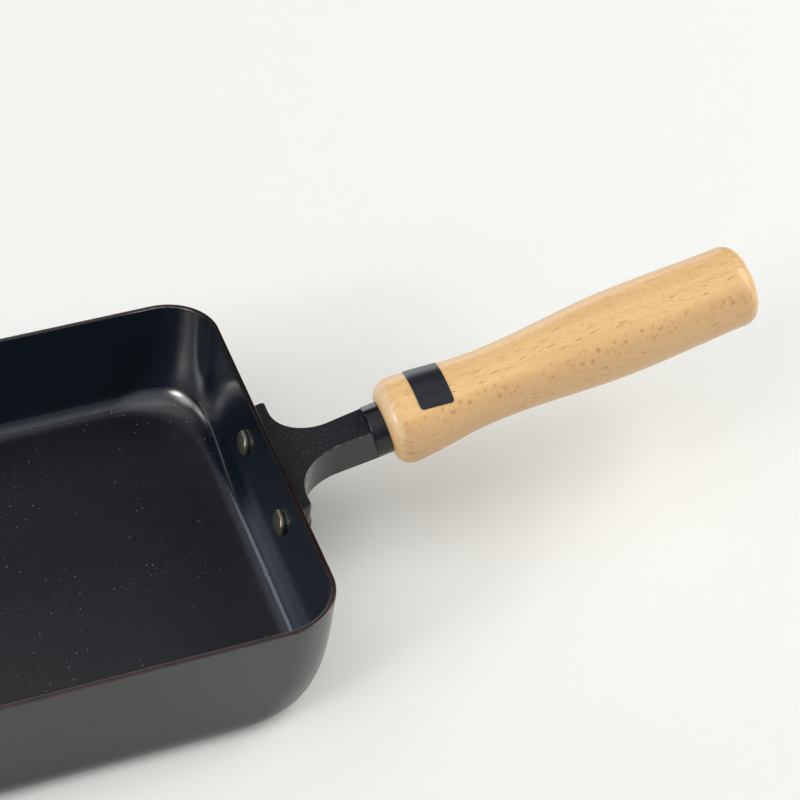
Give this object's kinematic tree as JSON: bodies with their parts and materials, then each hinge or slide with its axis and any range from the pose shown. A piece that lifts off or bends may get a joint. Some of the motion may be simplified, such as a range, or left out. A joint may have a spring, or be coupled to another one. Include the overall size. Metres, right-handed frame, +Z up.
{
  "type": "tamagoyaki pan",
  "caption": "Rectangular omelette pan of pressed blue-black iron, open at the top, with a turned beech handle on a riveted black bracket.",
  "frame": {"origin": "centre of the pan's flat base, on the surface that it rests on", "axes": "+X along the pan towards the handle, +Y across the pan, +Z up"},
  "size_m": [0.3401, 0.1532, 0.0722],
  "materials": {
    "pan_iron": "blue-black baked oxide, satin",
    "bracket_iron": "black coated casting, fine grain",
    "rivet_steel": "darkened steel",
    "ferrule_black": "smooth semi-gloss black",
    "grip_beech": "clear satin lacquer",
    "bolt_steel": "zinc plated",
    "label_film": "glossy black film"
  },
  "bodies": {
    "root": {"pan_body": "pan_iron", "handle_bracket": "bracket_iron", "left_rivet": "rivet_steel", "right_rivet": "rivet_steel", "ferrule": "ferrule_black", "handle_grip": "grip_beech", "handle_bolt": "bolt_steel", "bolt_washer": "bolt_steel", "lock_washer": "bolt_steel", "grip_label": "label_film"}
  },
  "joints": []
}
